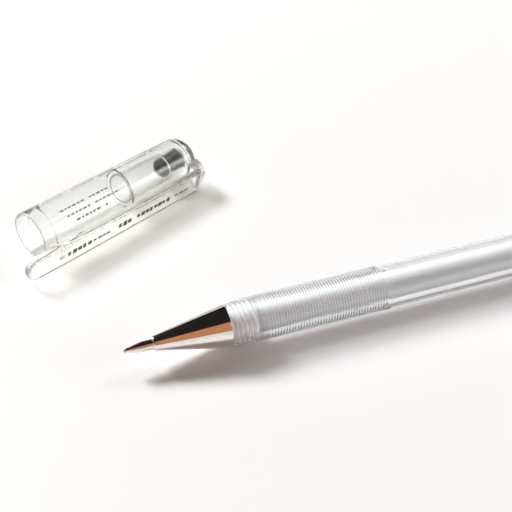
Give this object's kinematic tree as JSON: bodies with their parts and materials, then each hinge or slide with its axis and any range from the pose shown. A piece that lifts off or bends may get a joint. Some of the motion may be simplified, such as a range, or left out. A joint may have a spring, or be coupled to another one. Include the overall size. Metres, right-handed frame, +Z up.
{
  "type": "gel pen",
  "caption": "Clear-bodied gel pen with a screwed metal cone and an opaque refill, lying uncapped beside its clear cap with a clip.",
  "frame": {"origin": "on the pen's axis, where the plain rear length of the barrel begins", "axes": "+X along the pen from the tip to the tail, +Z up from the surface the pen lies on, +Y towards the cap"},
  "size_m": [0.1565, 0.0788, 0.0116],
  "materials": {
    "clear_barrel": "clear polished moulding",
    "clear_cap": "clear polished moulding",
    "cone_chrome": "polished plating",
    "white_plastic": "smooth moulded",
    "refill_plastic": "translucent tube",
    "sleeve_plastic": "clear satin moulding",
    "ink": "opaque white gel",
    "grease": "clear grease",
    "tip_steel": "turned metal",
    "ball_metal": "polished",
    "seal_rubber": "soft matte"
  },
  "bodies": {
    "barrel": {"barrel": "clear_barrel", "tail_plug": "white_plastic"},
    "refill": {"refill_tube": "refill_plastic", "ink_column": "ink", "tip_holder": "white_plastic", "writing_tip": "tip_steel"},
    "cone": {"tip_cone": "cone_chrome"},
    "ball": {"tip_ball": "ball_metal"},
    "follower": {"ink_follower": "grease"},
    "cap": {"cap_shell": "clear_cap", "inner_cap": "sleeve_plastic", "tip_seal": "seal_rubber"},
    "clip": {"cap_clip": "clear_cap"}
  },
  "joints": [
    {"name": "refill_forward", "type": "slide", "parent": "barrel", "child": "refill", "axis": [-1, 0, 0], "range_m": [0, 0.006]},
    {"name": "cone_turn", "type": "hinge", "parent": "refill", "child": "cone", "pos_m": [-0.05, 0, 0], "axis": [-1, 0, 0], "range_deg": [0, 2160]},
    {"name": "ball_roll", "type": "hinge", "parent": "refill", "child": "ball", "pos_m": [-0.0595, 0, 0], "axis": [0, 1, 0], "continuous": true},
    {"name": "follower_slide", "type": "slide", "parent": "refill", "child": "follower", "axis": [-1, 0, 0], "range_m": [0, 0.07], "deforming": ["ink_column"]},
    {"name": "cap_swing", "type": "hinge", "parent": "barrel", "child": "cap", "pos_m": [-0.06563, 0.02301, 0], "axis": [0, 0, 1], "range_deg": [0, 153]},
    {"name": "clip_flex", "type": "hinge", "parent": "cap", "child": "clip", "pos_m": [-0.02502, 0.05976, -0.00152], "axis": [0.1169, -0.2294, 0.9663], "range_deg": [0, 3], "stiffness_Nm_per_rad": 2}
  ],
  "couplings": [
    {"joint": "cone_turn", "follows": "refill_forward", "rad_per_m": 6283}
  ]
}
